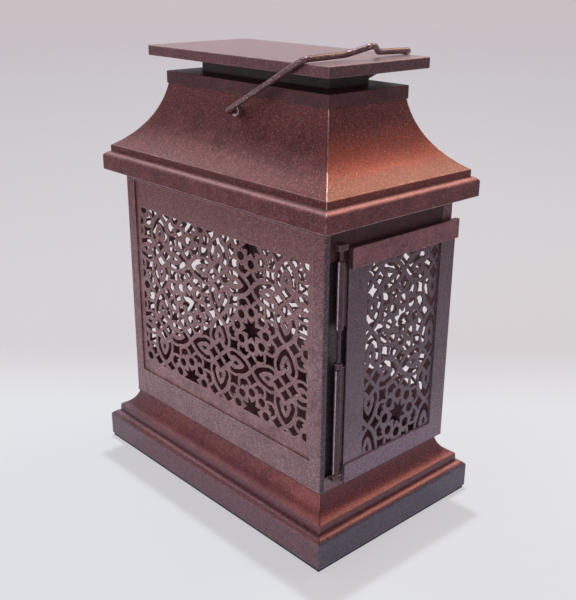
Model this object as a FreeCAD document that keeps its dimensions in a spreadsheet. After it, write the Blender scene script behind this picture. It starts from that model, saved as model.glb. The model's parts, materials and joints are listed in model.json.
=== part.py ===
import FreeCAD, Part
import Sketcher
import math
import os
import re
from FreeCAD import Placement, Rotation, Vector

# Pierced sheet-metal candle lantern, in millimetres, +Z up.
# The origin is on the surface it stands on, below the middle of the box.
# The long side of the box runs along X, the wide front faces -Y and the hinged door is the +X end.

os.makedirs("parts", exist_ok=True)
doc = FreeCAD.newDocument("Lantern")
sheet = doc.addObject("Spreadsheet::Sheet", "Sizes")

# Every driving size, with what it measures.
SIZES = [
    ("BodyLength", 176.4, "box, from end face to end face"),
    ("BodyWidth", 100, "box, from front face to back face"),
    ("BodyHeight", 149.4, "box, from floor plate to eave moulding"),
    ("Wall", 1.2, "sheet of the mouldings, posts, rails and bars"),
    ("Overrun", 4, "how far a cutting tool runs past what it cuts"),
    ("FitGap", 0.3, "free space between a moving piece and its neighbour"),
    ("PadHeight", 1.2, "foot pad"),
    ("PadInset", 0.9, "foot pad, edge in from the plinth face"),
    ("PadBand", 8, "foot pad, width of the band"),
    ("PlinthHeight", 18, "plinth moulding"),
    ("PlinthFoot", 12, "plinth, foot outside the body face"),
    ("PlinthRound", 1.5, "plinth, rounded foot"),
    ("PlinthShoulder", 2.8, "plinth, height of the sloped shoulder"),
    ("PlinthSlope", 4.9, "plinth, width of the sloped shoulder"),
    ("PlinthTread", 6.5, "plinth, flat top ring"),
    ("PlinthFlange", 10, "plinth, ring turned in under the foot"),
    ("CoveHeight", 16.4, "cove moulding above the plinth"),
    ("CoveFoot", 8.6, "cove, foot outside the body face"),
    ("CoveLipHeight", 5, "cove, lip at its foot"),
    ("CoveLipDraft", 0.2, "cove, how far the top of the lip leans in"),
    ("CoveTopInset", 1.2, "cove, top edge inside the body face"),
    ("FloorHeight", 1, "floor plate"),
    ("FloorInset", 0.5, "floor plate, edge inside the body face"),
    ("PostLeg", 9, "corner post, width of each leg"),
    ("PostRound", 2.4, "corner post, outer corner"),
    ("HingeLip", 3, "hinge post, lip on the hinge side"),
    ("HingeRebateDepth", 2.8, "hinge post, depth of the rebate"),
    ("HingeRebateWidth", 16.5, "hinge post, width of the rebate behind the pin"),
    ("BottomRail", 16.9, "height of the bottom rails"),
    ("TopRail", 5.2, "height of the top rails"),
    ("SillHeight", 8.8, "rail below the doorway"),
    ("HeadHeight", 18, "rail above the doorway"),
    ("SheetThick", 0.8, "pierced sheets"),
    ("SheetLap", 4.3, "pierced sheets, how far they lap behind posts"),
    ("SheetBottomLap", 5.5, "pierced sheets, how far they lap behind bottom rails"),
    ("SheetTopLap", 4.2, "pierced sheets, how far they lap behind top rails"),
    ("SideMargin", 3.6, "plain sheet between post and piercing"),
    ("BottomMargin", 9, "plain sheet between bottom rail and piercing"),
    ("TopMargin", 16.5, "plain sheet between top rail and piercing"),
    ("LongPitch", 57, "pattern, long side of its cell"),
    ("ShortPitch", 49, "pattern, short side of its cell"),
    ("PatternShift", 1.5, "pattern, stars off the middle along the face"),
    ("PatternLift", 1, "pattern, star row above the middle of the piercing"),
    ("DoorStarRise", 17, "pattern, lowest star on the door above the piercing"),
    ("SmallestHole", 1.1, "pattern, side of the smallest hole that is cut"),
    ("DoorSetback", 16.1, "door, hinge-side edge behind the front face"),
    ("DoorRise", 1.6, "door, bottom edge above the floor plate"),
    ("DoorDrop", 12.4, "door, top edge below the eave moulding"),
    ("DoorBarBottom", 11.1, "door, width of the bottom bar"),
    ("DoorBarFree", 11.7, "door, width of the bar on the free edge"),
    ("DoorBarTop", 11, "door, width of the top bar"),
    ("DoorTopBarThick", 2.6, "door, thickness of the top bar"),
    ("DoorTopBarEnd", 1, "door, how far the top bar passes the free edge"),
    ("DoorSheetInset", 0.5, "door, sheet edge inside the bars"),
    ("HingeMargin", 14.4, "door, plain sheet beside the hinge"),
    ("HingeSetback", 9.5, "hinge axis behind the front face"),
    ("HingeOut", 1.5, "hinge axis outside the end face"),
    ("PinRadius", 1.1, "hinge pin"),
    ("PinPlay", 0.05, "running play round the hinge pin"),
    ("KnuckleWall", 0.85, "sheet rolled round the hinge pin"),
    ("LeafReach", 14.5, "hinge leaf, from the axis on to the back of the door"),
    ("LugHeight", 3, "hinge lugs"),
    ("LugWidth", 6, "hinge lugs, across"),
    ("LugNose", 2, "hinge lugs, beyond the axis"),
    ("LowerLugRise", 6.8, "lower lug above the floor plate"),
    ("UpperLugDrop", 9.4, "top of the upper lug below the eave moulding"),
    ("BeadRadius", 2.2, "small collar on the hinge pin"),
    ("BeadHeight", 3, "small collar on the hinge pin"),
    ("BeadGap", 0.9, "small collar above the lower knuckle"),
    ("EaveHeight", 11, "eave moulding"),
    ("EaveOut", 9.5, "eave, outside the body face"),
    ("EaveShoulder", 2.4, "eave, height of the sloped shoulder"),
    ("EaveSlope", 3.9, "eave, width of the sloped shoulder"),
    ("EaveLap", 3, "eave, how far its flanges lap over the body"),
    ("RoofHeight", 41.6, "roof, from eave to collar"),
    ("NosingOut", 5.6, "roof, foot outside the body face"),
    ("NosingHeight", 3.4, "roof, upright foot"),
    ("NosingRound", 0.8, "roof, rounded top of the foot"),
    ("RoofInset", 20.7, "roof, top edge inside the body face"),
    ("CollarHeight", 7, "roof collar"),
    ("CollarLap", 0.8, "roof collar, how far it passes the roof's top edge"),
    ("NeckLength", 105.8, "vent neck along the lantern"),
    ("NeckWidth", 29.8, "vent neck across the lantern"),
    ("NeckHeight", 13.4, "vent neck"),
    ("PlateInset", 12.6, "top plate, edge inside the body face"),
    ("PlateHeight", 5.8, "top plate, with its turned-down rim"),
    ("PlateRound", 0.6, "top plate, rounded top edge"),
    ("RodRadius", 1.6, "bail rod"),
    ("RodPlay", 0.06, "running play round the bail rod"),
    ("EyeletWall", 1.34, "bail eyelets"),
    ("EyeletLength", 4.5, "bail eyelets"),
    ("EyeletStart", 0.2, "bail eyelets, inner end outside the roof's top edge"),
    ("EyeletPlay", 0.1, "play round the eyelets in the roof"),
    ("PivotDrop", 8.3, "bail pivots below the roof's top edge"),
    ("BailSideGap", 0.95, "free space between bail arm and top plate"),
    ("BailRestGap", 0.5, "free space below the resting bail"),
    ("BailArm", 67.8, "from the pivots to the corners of the grip"),
    ("BailBow", 1.8, "how far the grip bows out beside its hump"),
    ("HumpFoot", 11.75, "hump, half its width"),
    ("HumpRise", 9.5, "hump, height above its feet"),
    ("HumpFootBend", 8, "hump, bend at each foot"),
    ("HumpPeakBend", 4.5, "hump, bend at the peak"),
    ("CornerBend", 4.5, "bends at the corners of the grip"),
    ("ElbowBend", 3, "bends where the arms turn in"),
    ("BailTail", 2.3, "how far the rod ends pass the eyelets"),
    ("LipSagShare", 0.04, "lip of the cove, rise of the arc in chords"),
    ("ShoulderSagShare", 0.12, "sloped shoulders, rise of the arc in chords"),
    ("CoveSagShare", 0.127, "hollow of the cove, depth of the arc in chords"),
    ("RoofSagShare", 0.1044, "hollow of the roof, depth of the arc in chords"),
    ("LowerKnuckleShare", 0.504, "lower knuckle, in heights of the doorway"),
    ("UpperKnuckleShare", 0.298, "upper knuckle, in heights of the doorway"),
]

# Sizes that follow from those above.
FOLLOWS = {
    "HalfLength": "BodyLength / 2",
    "HalfWidth": "BodyWidth / 2",
    "Reach": "BodyLength + BodyWidth",
    "PlinthTop": "PadHeight + PlinthHeight",
    "CoveTop": "PlinthTop + CoveHeight",
    "BodyFoot": "CoveTop + FloorHeight",
    "BodyTop": "BodyFoot + BodyHeight",
    "EaveTop": "BodyTop + EaveHeight",
    "RoofTop": "EaveTop + RoofHeight",
    "CollarTop": "RoofTop + CollarHeight",
    "NeckTop": "CollarTop + NeckHeight",
    "PlateTop": "NeckTop + Wall",
    "PlateFoot": "PlateTop - PlateHeight",
    "PlinthOut": "PlinthFoot + PlinthRound",
    "PlinthBack": "PlinthOut - PlinthSlope",
    "ClearLength": "HalfLength - PostLeg",
    "ClearWidth": "HalfWidth - PostLeg",
    "DoorwayFoot": "BodyFoot + SillHeight",
    "DoorwayTop": "BodyTop - HeadHeight",
    "Doorway": "DoorwayTop - DoorwayFoot",
    "DoorBack": "HalfLength + FitGap",
    "DoorFace": "DoorBack + SheetThick",
    "DoorFoot": "BodyFoot + DoorRise",
    "DoorTop": "BodyTop - DoorDrop",
    "DoorHingeEdge": "DoorSetback - HalfWidth",
    "DoorBarInner": "HalfWidth - DoorBarFree",
    "HingeX": "HalfLength + HingeOut",
    "HingeY": "HingeSetback - HalfWidth",
    "KnuckleBore": "PinRadius + PinPlay",
    "KnuckleRadius": "KnuckleBore + KnuckleWall",
    "LowerLug": "BodyFoot + LowerLugRise",
    "UpperLug": "BodyTop - UpperLugDrop",
    "LowerKnuckleFoot": "LowerLug + LugHeight + FitGap",
    "LowerKnuckleTop": "LowerKnuckleFoot + Doorway * LowerKnuckleShare",
    "UpperKnuckleTop": "DoorwayTop - FitGap",
    "UpperKnuckleFoot": "UpperKnuckleTop - Doorway * UpperKnuckleShare",
    "BeadFoot": "LowerKnuckleTop + BeadGap",
    "CollarInset": "RoofInset - CollarLap",
    "PivotZ": "RoofTop - PivotDrop",
    "EyeletBore": "RodRadius + RodPlay",
    "EyeletRadius": "EyeletBore + EyeletWall",
    "EyeletInner": "HalfWidth - RoofInset + EyeletStart",
    "BailHalf": "HalfWidth - PlateInset + BailSideGap + RodRadius",
    "BailEnd": "EyeletInner - BailTail",
    "BailRest": "asin((PlateTop + BailRestGap + RodRadius - PivotZ) / BailArm)",
}

for row, (alias, value, note) in enumerate(SIZES, start=1):
    sheet.set("A%d" % row, note)
    sheet.set("B%d" % row, str(value))
    sheet.setAlias("B%d" % row, alias)
doc.recompute()
OWN = {alias for alias, value, note in SIZES}


def ex(words):
    """Write a sum of named sizes as an expression of the sheet."""
    def swap(found):
        word = found.group(0)
        if word in FOLLOWS:
            return "(" + ex(FOLLOWS[word]) + ")"
        if word in OWN:
            return "Sizes." + word
        raise ValueError("no size is called " + word)
    return re.sub(r"\b[A-Z][A-Za-z]*\b", swap, str(words))


def num(words):
    """The present value of a sum of named sizes."""
    value = sheet.evalExpression(ex(words))
    return float(getattr(value, "Value", value))


def bind(thing, prop, words):
    thing.setExpression(prop, ex(words))


def place(thing, x="0", y="0", z="0"):
    bind(thing, "Placement.Base.x", x)
    bind(thing, "Placement.Base.y", y)
    bind(thing, "Placement.Base.z", z)


def box(name, x, y, z):
    """A block between two places on each axis."""
    piece = doc.addObject("Part::Box", name)
    for prop, (low, high) in (("Length", x), ("Width", y), ("Height", z)):
        bind(piece, prop, "(%s) - (%s)" % (high, low))
    place(piece, x[0], y[0], z[0])
    return piece


def upright(name, radius, x, y, z):
    """A round bar along Z."""
    piece = doc.addObject("Part::Cylinder", name)
    bind(piece, "Radius", radius)
    bind(piece, "Height", "(%s) - (%s)" % (z[1], z[0]))
    place(piece, x, y, z[0])
    return piece


ALONG_Y = Rotation(Vector(1, 0, 0), -90)
FACING_FRONT = Rotation(Vector(1, 0, 0), 90)
FACING_END = Rotation(Vector(1, 1, 1), 120)


def crosswise(name, radius, y, z):
    """A round bar along Y, over the middle of the lantern."""
    piece = doc.addObject("Part::Cylinder", name)
    piece.Placement = Placement(Vector(), ALONG_Y)
    bind(piece, "Radius", radius)
    bind(piece, "Height", "(%s) - (%s)" % (y[1], y[0]))
    place(piece, "0", y[0], z)
    return piece


def cut(name, base, tools):
    tool = tools[0]
    if len(tools) > 1:
        tool = doc.addObject("Part::MultiFuse", name + "_tools")
        tool.Shapes = tools
    piece = doc.addObject("Part::Cut", name)
    piece.Base = base
    piece.Tool = tool
    return piece


def fuse(name, shapes):
    piece = doc.addObject("Part::MultiFuse", name)
    piece.Shapes = shapes
    return piece


def sag_point(p, q, share):
    """The middle of the arc from p to q that stands out to the right by a share of its chord."""
    across = q - p
    right = Vector(across.y, -across.x, 0)
    return p + across * (1 / 2) + right * share


# Rise of a quarter circle, in chords.
QUARTER = "tan(22.5) / 2"


def outline(sketch, corners):
    """Draw a closed outline: each corner is (x, y, sag), where the sag of the side that follows
    is in chords, out to the right of the way round, and 0 is a straight side."""
    points = [Vector(num(x), num(y), 0) for x, y, sag in corners]
    starts = []
    for index, (x, y, sag) in enumerate(corners):
        p = points[index]
        q = points[(index + 1) % len(points)]
        if sag == "0":
            side = sketch.addGeometry(Part.LineSegment(p, q))
        else:
            side = sketch.addGeometry(Part.Arc(p, sag_point(p, q, num(sag)), q))
        first = 1
        if sketch.getPoint(side, 2).distanceToPoint(p) < sketch.getPoint(side, 1).distanceToPoint(p):
            first = 2
        starts.append((side, first))
    for index, (x, y, sag) in enumerate(corners):
        side, first = starts[index]
        after, joint = starts[(index + 1) % len(corners)]
        sketch.addConstraint(Sketcher.Constraint("Coincident", side, 3 - first, after, joint))
        for kind, words, value in (("DistanceX", x, points[index].x), ("DistanceY", y, points[index].y)):
            rule = sketch.addConstraint(Sketcher.Constraint(kind, -1, 1, side, first, value))
            sketch.setExpression("Constraints[%d]" % rule, ex(words))
        if sag != "0":
            x_after, y_after, sag_after = corners[(index + 1) % len(corners)]
            share = "abs(%s)" % sag
            chord = "sqrt(((%s) - (%s)) ^ 2 + ((%s) - (%s)) ^ 2)" % (x_after, x, y_after, y)
            radius = "%s * (1 / (8 * %s) + %s / 2)" % (chord, share, share)
            rule = sketch.addConstraint(Sketcher.Constraint("Radius", side, num(radius)))
            sketch.setExpression("Constraints[%d]" % rule, ex(radius))


def ring(name, profile):
    """A four-sided solid with mitred corners. The profile climbs the outside as (out, z, sag),
    where out is measured from the faces of the body."""
    halves = []
    for way, half, turned in (("front", "HalfLength", FACING_FRONT), ("end", "HalfWidth", FACING_END)):
        right = [("%s + (%s)" % (half, out), z, sag) for out, z, sag in profile]
        left = []
        for index in range(len(profile) - 1, -1, -1):
            out, z, sag = profile[index]
            before = profile[index - 1][2] if index > 0 else "0"
            left.append(("-(%s) - (%s)" % (half, out), z, before))
        sketch = doc.addObject("Sketcher::SketchObject", "%s_%s_sketch" % (name, way))
        sketch.Placement = Placement(Vector(), turned)
        outline(sketch, right + left)
        solid = doc.addObject("Part::Extrusion", "%s_%s" % (name, way))
        solid.Base = sketch
        solid.DirMode = "Normal"
        solid.Solid = True
        solid.Symmetric = True
        bind(solid, "LengthFwd", "Reach")
        halves.append(solid)
    piece = doc.addObject("Part::MultiCommon", name)
    piece.Shapes = halves
    return piece


def block(name, out, z):
    """A plain block whose sides stand out from the faces of the body."""
    x = ("-(HalfLength) - (%s)" % out, "HalfLength + (%s)" % out)
    y = ("-(HalfWidth) - (%s)" % out, "HalfWidth + (%s)" % out)
    return box(name, x, y, z)


# Foot pad: a flat band under the plinth.
PAD_OUT = "PlinthOut - PadInset"
pad_block = block("pad_block", PAD_OUT, ("0", "PadHeight"))
pad_window = block("pad_window", "%s - PadBand" % PAD_OUT, ("-Overrun", "PadHeight + Overrun"))
base_pad = cut("base_pad", pad_block, [pad_window])

# Plinth: a pressed ring with a rounded foot and a sloped shoulder, turned in at the bottom and the top.
plinth_solid = ring("plinth_solid", [
    ("PlinthFoot", "PadHeight", QUARTER),
    ("PlinthOut", "PadHeight + PlinthRound", "0"),
    ("PlinthOut", "PlinthTop - PlinthShoulder", "ShoulderSagShare"),
    ("PlinthBack", "PlinthTop", "0"),
])
plinth_hollow = ring("plinth_hollow", [
    ("PlinthFoot - PlinthFlange", "PadHeight - Overrun", "0"),
    ("PlinthFoot - PlinthFlange", "PadHeight + Wall", "0"),
    ("PlinthFoot", "PadHeight + Wall", QUARTER),
    ("PlinthOut - Wall", "PadHeight + PlinthRound", "0"),
    ("PlinthOut - Wall", "PlinthTop - PlinthShoulder - Wall / 2", "ShoulderSagShare"),
    ("PlinthBack", "PlinthTop - Wall", "0"),
    ("PlinthBack - PlinthTread", "PlinthTop - Wall", "0"),
    ("PlinthBack - PlinthTread", "PlinthTop + Overrun", "0"),
])
base_plinth = cut("base_plinth", plinth_solid, [plinth_hollow])

# Cove: a lip at the foot and a hollow that draws in to the body.
COVE_LIP_TOP = "CoveFoot - CoveLipDraft"
cove_solid = ring("cove_solid", [
    ("CoveFoot", "PlinthTop", "LipSagShare"),
    (COVE_LIP_TOP, "PlinthTop + CoveLipHeight", "-CoveSagShare"),
    ("-CoveTopInset", "CoveTop", "0"),
])
cove_hollow = ring("cove_hollow", [
    ("CoveFoot - Wall", "PlinthTop - Overrun", "0"),
    ("CoveFoot - Wall", "PlinthTop", "LipSagShare"),
    (COVE_LIP_TOP + " - Wall", "PlinthTop + CoveLipHeight - Wall", "-CoveSagShare"),
    ("-CoveTopInset - Wall", "CoveTop - Wall", "0"),
    ("-CoveTopInset - Wall", "CoveTop + Overrun", "0"),
])
base_cove = cut("base_cove", cove_solid, [cove_hollow])

# Floor plate: closes the base and carries the body.
floor_plate = block("floor_plate", "-FloorInset", ("CoveTop", "BodyFoot"))


def post(name, side_x, side_y, corners):
    """An upright post of one section; its corners are measured in from the body's corner."""
    body = doc.addObject("PartDesign::Body", name)
    sketch = body.newObject("Sketcher::SketchObject", name + "_sketch")
    plane = [part for part in body.Origin.OriginFeatures if part.Role == "XY_Plane"][0]
    sketch.AttachmentSupport = (plane, [""])
    sketch.MapMode = "FlatFace"
    turned = []
    for from_end, from_front, sag in corners:
        x = "%d * (HalfLength - (%s))" % (side_x, from_end)
        y = "%d * (HalfWidth - (%s))" % (side_y, from_front)
        turned.append((x, y, sag if sag == "0" else "%d * %s" % (side_x * side_y, sag)))
    outline(sketch, turned)
    pad = body.newObject("PartDesign::Pad", name + "_pad")
    pad.Profile = sketch
    bind(pad, "Length", "BodyHeight")
    bind(body, "Placement.Base.z", "BodyFoot")
    body.Tip = pad
    return body


# Four folded corner posts; the one beside the hinge has a rebate that keeps clear of the pin.
ANGLE = [
    ("PostLeg", "0", "0"),
    ("PostLeg", "Wall", "0"),
    ("Wall", "Wall", "0"),
    ("Wall", "PostLeg", "0"),
    ("0", "PostLeg", "0"),
    ("0", "PostRound", QUARTER),
    ("PostRound", "0", "0"),
]
HINGE_ANGLE = [
    ("PostLeg", "0", "0"),
    ("PostLeg", "Wall", "0"),
    ("HingeRebateDepth + Wall", "Wall", "0"),
    ("HingeRebateDepth + Wall", "HingeLip + HingeRebateWidth", "0"),
    ("HingeRebateDepth", "HingeLip + HingeRebateWidth", "0"),
    ("HingeRebateDepth", "HingeLip", "0"),
    ("0", "HingeLip", "0"),
    ("0", "PostRound", QUARTER),
    ("PostRound", "0", "0"),
]
post_front_hinge = post("post_front_hinge", 1, -1, HINGE_ANGLE)
post_front_far = post("post_front_far", -1, -1, ANGLE)
post_back_door = post("post_back_door", 1, 1, ANGLE)
post_back_far = post("post_back_far", -1, 1, ANGLE)

# Rails between the posts, flush with their faces.
RAIL_X = ("-(ClearLength)", "ClearLength")
RAIL_Y = ("-(ClearWidth)", "ClearWidth")
FRONT_SKIN = ("-(HalfWidth)", "Wall - HalfWidth")
BACK_SKIN = ("HalfWidth - Wall", "HalfWidth")
END_SKIN = ("-(HalfLength)", "Wall - HalfLength")
DOOR_SKIN = ("HalfLength - Wall", "HalfLength")
DOOR_RAIL_Y = ("HingeLip - HalfWidth", "ClearWidth")
LOW = ("BodyFoot", "BodyFoot + BottomRail")
HIGH = ("BodyTop - TopRail", "BodyTop")
rails = [
    box("rail_front_bottom", RAIL_X, FRONT_SKIN, LOW),
    box("rail_front_top", RAIL_X, FRONT_SKIN, HIGH),
    box("rail_back_bottom", RAIL_X, BACK_SKIN, LOW),
    box("rail_back_top", RAIL_X, BACK_SKIN, HIGH),
    box("rail_end_bottom", END_SKIN, RAIL_Y, LOW),
    box("rail_end_top", END_SKIN, RAIL_Y, HIGH),
    box("door_sill", DOOR_SKIN, DOOR_RAIL_Y, ("BodyFoot", "DoorwayFoot")),
    box("door_head", DOOR_SKIN, DOOR_RAIL_Y, ("DoorwayTop", "BodyTop")),
]


# One cell of the pierced pattern, with a star in its middle and a crossing at each corner.
# Places are shares of the cell's two sides; the third value of a corner is the sag of the side
# that follows, in chords, out to the right of the way round.
QUARTER_SAG_SHARE = num(QUARTER)
STAR_TIP_SHARE = 0.160
STAR_NOTCH_SHARE = 0.084
DOT_RADIUS_SHARE = 0.053
DOT_RING_SHARE = 0.214
CROWN_RING_SHARE = 0.313
SQUARE_PLACE_SHARE = 0.388
SQUARE_RADIUS_SHARE = 0.101
SQUARE_SAG_SHARE = -0.10
CROSS_PLACE_SHARE = 0.102
CROSS_RADIUS_SHARE = 0.082
TIP_PLACE_SHARE = 0.385
TIP_RADIUS_SHARE = 0.084
DIAMOND_SAG_SHARE = -0.08
CORNER_SHARE = 0.5
CROWN_SHARES = [
    (0.046, 0.058, 0.05), (0.062, 0, 0.05), (0.046, -0.058, 0.05), (-0.036, -0.082, 0),
    (-0.014, -0.030, 0), (-0.048, 0, 0), (-0.014, 0.030, 0), (-0.036, 0.082, 0.05),
]
DROP_SHARES = [
    (0.156, 0.098, -0.15), (0.200, 0.133, -0.12), (0.287, 0.121, -0.10), (0.470, 0, -0.10),
    (0.287, -0.121, -0.12), (0.200, -0.133, -0.15), (0.156, -0.098, 0),
    (0.178, -0.058, 0.15), (0.212, -0.080, 0.12), (0.272, -0.070, 0.10), (0.386, 0, 0.10),
    (0.272, 0.070, 0.12), (0.212, 0.080, 0.15), (0.178, 0.058, 0),
]
LEAF_SHARES = [
    (0.322, 0, 0), (0.284, 0.014, 0), (0.268, 0.036, 0), (0.250, 0.017, 0), (0.216, 0.030, 0),
    (0.226, 0, 0), (0.216, -0.030, 0), (0.250, -0.017, 0), (0.268, -0.036, 0), (0.284, -0.014, 0),
]


def turned_about(corners, degrees, centre):
    """Turn an outline about the zero of its shares, then carry it to a centre."""
    cosine = math.cos(math.radians(degrees))
    sine = math.sin(math.radians(degrees))
    return [(centre[0] + x * cosine - y * sine, centre[1] + x * sine + y * cosine, sag)
            for x, y, sag in corners]


def polar(radius, degrees):
    return (radius * math.cos(math.radians(degrees)), radius * math.sin(math.radians(degrees)))


def regular(count, radius, sag=0):
    """A regular outline round the zero of its shares."""
    return [polar(radius, 360 * index / count) + (sag,) for index in range(count)]


def pattern_cell():
    """Every hole of one cell, in shares."""
    eighths = [45 * index for index in range(8)]
    quarters = [90 * index for index in range(4)]
    middle = (0, 0)
    corner = (CORNER_SHARE, CORNER_SHARE)
    star = []
    for index in range(8):
        star.append(polar(STAR_NOTCH_SHARE, 45 * index) + (0,))
        star.append(polar(STAR_TIP_SHARE, 45 * index + 22.5) + (0,))
    dot = regular(4, DOT_RADIUS_SHARE, QUARTER_SAG_SHARE)
    square = turned_about(regular(4, SQUARE_RADIUS_SHARE, SQUARE_SAG_SHARE), 45, middle)
    cross = regular(4, CROSS_RADIUS_SHARE, DIAMOND_SAG_SHARE)
    tip = regular(4, TIP_RADIUS_SHARE, DIAMOND_SAG_SHARE)
    crown = [(x + CROWN_RING_SHARE, y, sag) for x, y, sag in CROWN_SHARES]
    holes = [star]
    for angle in eighths:
        holes.append(turned_about(dot, 0, polar(DOT_RING_SHARE, angle)))
        holes.append(turned_about(crown, angle + 22.5, middle))
    for angle in quarters:
        holes.append(turned_about(square, 0, polar(SQUARE_PLACE_SHARE, angle + 45)))
        holes.append(turned_about(tip, 0, polar(TIP_PLACE_SHARE, angle)))
        beside = polar(CROSS_PLACE_SHARE, angle)
        holes.append(turned_about(cross, 0, (corner[0] + beside[0], corner[1] + beside[1])))
        holes.append(turned_about(DROP_SHARES, angle, corner))
        holes.append(turned_about(LEAF_SHARES, angle, corner))
    return holes


CELL = pattern_cell()


def hole_face(corners, star, pitch):
    """One hole at its real size: a flat face with straight and arched sides."""
    points = [Vector(star[0] + x * pitch[0], star[1] + y * pitch[1], 0) for x, y, sag in corners]
    sides = []
    for index, (x, y, sag) in enumerate(corners):
        p = points[index]
        q = points[(index + 1) % len(points)]
        if sag == 0:
            sides.append(Part.LineSegment(p, q).toShape())
        else:
            sides.append(Part.Arc(p, sag_point(p, q, sag), q).toShape())
    return Part.Face(Part.Wire(sides))


def rectangle(low, high):
    corners = [Vector(low[0], low[1], 0), Vector(high[0], low[1], 0),
               Vector(high[0], high[1], 0), Vector(low[0], high[1], 0)]
    return Part.makePolygon(corners + corners[:1])


def pierced_sheet(low, high, window_low, window_high, star, pitch):
    """A flat sheet, low to high in its own plane, pierced by the pattern inside a window.
    The star is the place of one star; the pattern repeats both ways from it."""
    window = Part.Face(rectangle(window_low, window_high))
    smallest = num("SmallestHole") ** 2
    first = [math.floor((window_low[axis] - star[axis]) / pitch[axis]) - 1 for axis in (0, 1)]
    last = [math.ceil((window_high[axis] - star[axis]) / pitch[axis]) + 1 for axis in (0, 1)]
    faces = []
    for column in range(first[0], last[0] + 1):
        for row in range(first[1], last[1] + 1):
            centre = (star[0] + column * pitch[0], star[1] + row * pitch[1])
            for corners in CELL:
                face = hole_face(corners, centre, pitch)
                edge = face.BoundBox
                inside = (edge.XMin > window_low[0] and edge.XMax < window_high[0]
                          and edge.YMin > window_low[1] and edge.YMax < window_high[1])
                outside = (edge.XMin >= window_high[0] or edge.XMax <= window_low[0]
                           or edge.YMin >= window_high[1] or edge.YMax <= window_low[1])
                if inside:
                    faces.append(face)
                elif not outside:
                    faces.extend(bit for bit in face.common(window).Faces if bit.Area > smallest)
    wires = [rectangle(low, high)]
    for face in faces:
        wire = face.OuterWire
        if Part.Face(wire).normalAt(0, 0).z > 0:
            wire.reverse()
        wires.append(wire)
    return Part.Face(wires).extrude(Vector(0, 0, num("SheetThick")))


def panel(name, shape, base, turned):
    """Stand a flat sheet upright in its place."""
    piece = doc.addObject("Part::Feature", name)
    piece.Shape = shape
    piece.Placement = Placement(base, turned)
    return piece


# Pierced sheets behind the frame. On the wide faces the long side of the cell lies along X,
# on the ends it stands upright.
long_pitch = num("LongPitch")
short_pitch = num("ShortPitch")
sheet_z = (num("BodyFoot + BottomRail - SheetBottomLap"), num("BodyTop - TopRail + SheetTopLap"))
window_z = (num("BodyFoot + BottomRail + BottomMargin"), num("BodyTop - TopRail - TopMargin"))
window_mid = (window_z[0] + window_z[1]) / 2
wide_half = num("ClearLength + SheetLap")
wide_window = num("ClearLength - SideMargin")
wide_star = (long_pitch / 2 + num("PatternShift"), window_mid + num("PatternLift"))
wide_sheet = pierced_sheet(
    (-wide_half, sheet_z[0]), (wide_half, sheet_z[1]), (-wide_window, window_z[0]),
    (wide_window, window_z[1]), wide_star, (long_pitch, short_pitch))
end_half = num("ClearWidth + SheetLap")
end_window = num("ClearWidth - SideMargin")
end_sheet = pierced_sheet(
    (-end_half, sheet_z[0]), (end_half, sheet_z[1]), (-end_window, window_z[0]),
    (end_window, window_z[1]), (0, window_mid + num("PatternLift")), (short_pitch, long_pitch))
panels = [
    panel("panel_front", wide_sheet, Vector(0, num("Wall + SheetThick - HalfWidth"), 0), FACING_FRONT),
    panel("panel_back", wide_sheet, Vector(0, num("HalfWidth - Wall"), 0), FACING_FRONT),
    panel("panel_end", end_sheet, Vector(num("Wall - HalfLength"), 0, 0), FACING_END),
]

# Door: a pierced sheet with three bars on its face, closed over the end of the body.
door_window_low = (num("DoorHingeEdge + HingeMargin"), num("DoorFoot + DoorBarBottom"))
door_window_high = (num("DoorBarInner"), num("DoorTop - DoorBarTop"))
door_star = ((door_window_low[0] + door_window_high[0]) / 2, door_window_low[1] + num("DoorStarRise"))
door_sheet = pierced_sheet(
    (num("DoorHingeEdge"), num("DoorFoot + DoorSheetInset")),
    (num("HalfWidth - DoorSheetInset"), num("DoorTop - DoorSheetInset")),
    door_window_low, door_window_high, door_star, (short_pitch, long_pitch))
panels.append(panel("door_panel", door_sheet, Vector(num("DoorBack"), 0, 0), FACING_END))
BAR_X = ("DoorFace", "DoorFace + Wall")
DOOR_MID_Z = "DoorTop - DoorBarTop"
bars = [
    box("door_bar_bottom", BAR_X, ("DoorHingeEdge", "DoorBarInner"), ("DoorFoot", "DoorFoot + DoorBarBottom")),
    box("door_bar_free", BAR_X, ("DoorBarInner", "HalfWidth"), ("DoorFoot", DOOR_MID_Z)),
    box("door_bar_top", ("DoorFace", "DoorFace + DoorTopBarThick"),
        ("DoorHingeEdge", "HalfWidth + DoorTopBarEnd"), (DOOR_MID_Z, "DoorTop")),
]


def knuckle(name, z):
    """Sheet rolled round the pin, with a leaf that lies on the back of the door."""
    roll = upright(name + "_roll", "KnuckleRadius", "HingeX", "HingeY", z)
    leaf = box(name + "_leaf", ("DoorBack - SheetThick", "DoorBack"), ("HingeY", "HingeY + LeafReach"), z)
    bore_z = ("%s - Overrun" % z[0], "%s + Overrun" % z[1])
    bore = upright(name + "_bore", "KnuckleBore", "HingeX", "HingeY", bore_z)
    return cut(name, fuse(name + "_blank", [roll, leaf]), [bore])


def lug(name, foot):
    """A lug on the face of the doorway frame that holds one end of the pin."""
    across = ("HingeY - LugWidth / 2", "HingeY + LugWidth / 2")
    blank = box(name + "_blank", ("HalfLength", "HingeX + LugNose"), across, (foot, "%s + LugHeight" % foot))
    hole_z = ("%s - Overrun" % foot, "%s + LugHeight + Overrun" % foot)
    hole = upright(name + "_hole", "KnuckleBore", "HingeX", "HingeY", hole_z)
    return cut(name, blank, [hole])


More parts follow.
